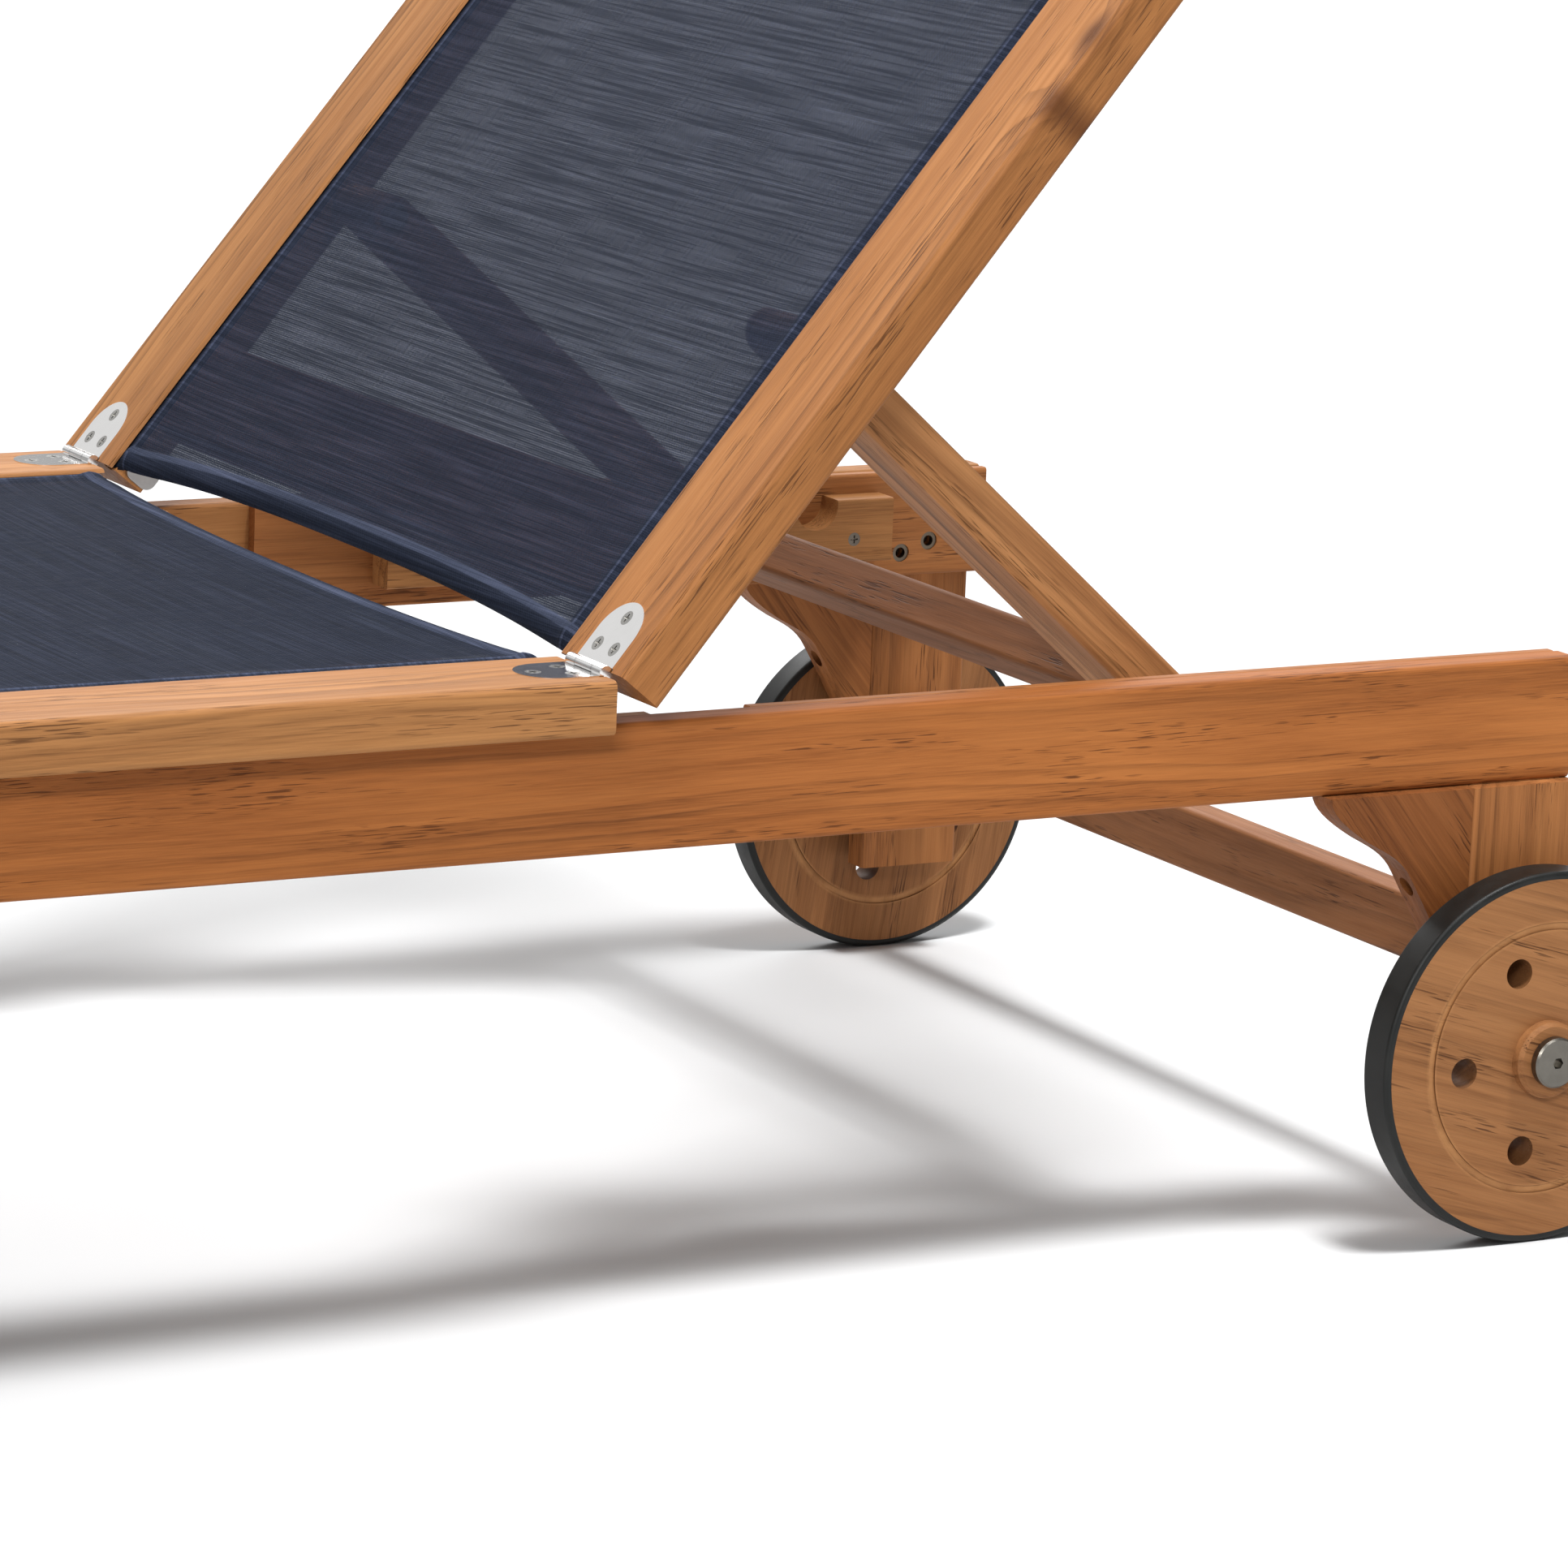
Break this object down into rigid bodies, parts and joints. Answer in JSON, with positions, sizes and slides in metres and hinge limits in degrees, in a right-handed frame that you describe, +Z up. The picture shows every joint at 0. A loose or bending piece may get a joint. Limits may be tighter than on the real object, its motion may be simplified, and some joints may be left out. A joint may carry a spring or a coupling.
{
  "type": "sun lounger",
  "caption": "Teak sun lounger with mesh slings, a hinged backrest on a notched prop stand, and wooden wheels with rubber tyres at the head end.",
  "frame": {"origin": "on the ground, under the centre of the bounding box with the backrest raised as built", "axes": "+X from the foot end to the head end, +Y to the left of someone lying face up, +Z up"},
  "size_m": [1.928, 0.7438, 0.8882],
  "materials": {
    "teak": "oiled teak, satin",
    "sling_weave": "open weave of coated yarn, navy",
    "nylon": "matt",
    "tyre_rubber": "matt black rubber",
    "stainless": "brushed",
    "polished_stainless": "polished",
    "zinc_steel": "zinc plated, dull"
  },
  "bodies": {
    "base": {"side_rail_left": "teak", "side_rail_right": "teak", "seat_batten_left": "teak", "seat_batten_right": "teak", "rack_board_left": "teak", "rack_board_right": "teak", "notch_rack_left": "teak", "notch_rack_right": "teak", "rack_screws": "stainless", "head_leg_left": "teak", "head_leg_right": "teak", "foot_leg_left": "teak", "foot_leg_right": "teak", "head_brace_left": "teak", "head_brace_right": "teak", "foot_brace_left": "teak", "foot_brace_right": "teak", "brace_screws": "stainless", "leg_bolts": "stainless", "head_stretcher": "teak", "foot_stretcher": "teak", "foot_cross_rail": "teak", "middle_cross_rail": "teak", "seat_rail_left": "teak", "seat_rail_right": "teak", "seat_foot_rail": "teak", "seat_spreader_foot": "teak", "seat_spreader_head": "teak", "seat_sling": "sling_weave", "seat_splines": "nylon", "seat_hinge_leaf_left": "polished_stainless", "seat_hinge_leaf_right": "polished_stainless", "hinge_pins": "polished_stainless", "seat_hinge_screws": "stainless", "axle_bolt_left": "stainless", "axle_bolt_right": "stainless", "axle_nuts": "stainless"},
    "backrest": {"back_rail_left": "teak", "back_rail_right": "teak", "back_top_rail": "teak", "back_lower_rail": "teak", "back_sling": "sling_weave", "back_splines": "nylon", "back_hinge_leaf_left": "polished_stainless", "back_hinge_leaf_right": "polished_stainless", "back_hinge_screws": "stainless", "back_end_plates": "zinc_steel", "prop_pivot_bolts": "stainless"},
    "prop": {"prop_strut_left": "teak", "prop_strut_right": "teak", "prop_foot_bar": "teak", "prop_foot_pins": "teak"},
    "wheel_left": {"wheel_disc_left": "teak", "tyre_left": "tyre_rubber", "hub_bush_left": "nylon"},
    "wheel_right": {"wheel_disc_right": "teak", "tyre_right": "tyre_rubber", "hub_bush_right": "nylon"}
  },
  "joints": [
    {"name": "backrest_recline", "type": "hinge", "parent": "base", "child": "backrest", "pos_m": [0.3156, 0, 0.3336], "axis": [0, -1, 0], "range_deg": [-50.5, 18.5]},
    {"name": "prop_swing", "type": "hinge", "parent": "backrest", "child": "prop", "pos_m": [0.46022, 0, 0.47759], "axis": [0, -1, 0], "range_deg": [-33.5, 90.5]},
    {"name": "wheel_left_spin", "type": "hinge", "parent": "base", "child": "wheel_left", "pos_m": [0.864, 0.349, 0.1], "axis": [0, 1, 0], "continuous": true},
    {"name": "wheel_right_spin", "type": "hinge", "parent": "base", "child": "wheel_right", "pos_m": [0.864, -0.349, 0.1], "axis": [0, 1, 0], "continuous": true}
  ],
  "couplings": [
    {"joint": "prop_swing", "follows": "backrest_recline", "ratio": -1.776}
  ]
}
